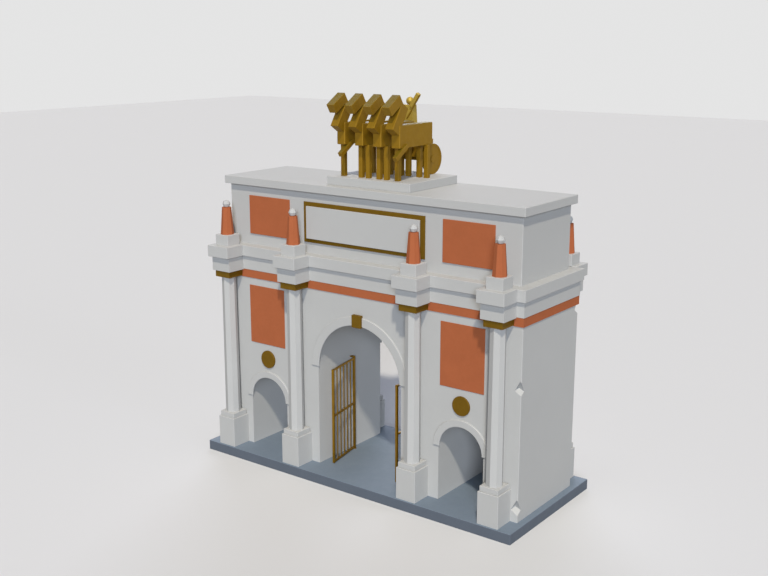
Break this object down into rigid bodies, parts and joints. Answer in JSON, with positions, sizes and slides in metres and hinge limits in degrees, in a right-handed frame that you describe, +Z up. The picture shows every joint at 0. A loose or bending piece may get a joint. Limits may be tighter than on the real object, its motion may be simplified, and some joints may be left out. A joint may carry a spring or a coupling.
{
  "type": "triumphal arch",
  "caption": "Masonry triumphal arch with side passages, columns, red panels, attic with blank tablet, rooftop chariot group and swinging barred gates in the central passage.",
  "frame": {"origin": "centre of the underside of the stylobate", "axes": "+X along the front to the right, -Y out of the front, +Z up"},
  "size_m": [23.94, 9.914, 24.5241],
  "materials": {
    "pale_limestone": "fine-dressed matte",
    "blue_grey_stone": "honed matte",
    "terracotta_red_stone": "matte",
    "gilded_bronze": "aged gilding, satin",
    "gilded_iron": "painted and gilded, satin"
  },
  "bodies": {
    "arch": {"stylobate": "blue_grey_stone", "outer_pier_left": "pale_limestone", "outer_pier_right": "pale_limestone", "inner_pier_left": "pale_limestone", "inner_pier_right": "pale_limestone", "central_vault": "pale_limestone", "side_vault_left": "pale_limestone", "side_vault_right": "pale_limestone", "side_archivolts": "pale_limestone", "central_archivolts": "pale_limestone", "keystones": "gilded_bronze", "pedestals": "pale_limestone", "column_plinths": "pale_limestone", "columns": "pale_limestone", "capital_blocks": "gilded_bronze", "frieze_band": "terracotta_red_stone", "entablature": "pale_limestone", "entablature_breaks": "pale_limestone", "main_cornice": "pale_limestone", "cornice_breaks": "pale_limestone", "attic_wall": "pale_limestone", "attic_cornice": "pale_limestone", "lower_panels": "terracotta_red_stone", "attic_panels": "terracotta_red_stone", "medallions": "gilded_bronze", "tablet_frames": "gilded_bronze", "tablets": "pale_limestone", "statue_blocks": "pale_limestone", "statue_robes": "terracotta_red_stone", "statue_heads": "pale_limestone", "quadriga_plinth": "pale_limestone", "horse_1": "gilded_bronze", "horse_2": "gilded_bronze", "horse_3": "gilded_bronze", "horse_4": "gilded_bronze", "chariot_body": "gilded_bronze", "chariot_wheels": "gilded_bronze", "charioteer": "gilded_bronze", "spear": "gilded_bronze", "gate_collars": "gilded_iron", "gate_shoes": "gilded_iron"},
    "gate_left": {"gate_left_frame": "gilded_iron", "gate_left_bars": "gilded_iron"},
    "gate_right": {"gate_right_frame": "gilded_iron", "gate_right_bars": "gilded_iron"}
  },
  "joints": [
    {"name": "gate_left_swing", "type": "hinge", "parent": "arch", "child": "gate_left", "pos_m": [-3, 0.03, 0.7], "axis": [0, 0, 1], "range_deg": [-11, 79]},
    {"name": "gate_right_swing", "type": "hinge", "parent": "arch", "child": "gate_right", "pos_m": [3, 0.03, 0.7], "axis": [0, 0, -1], "range_deg": [-7, 83]}
  ]
}
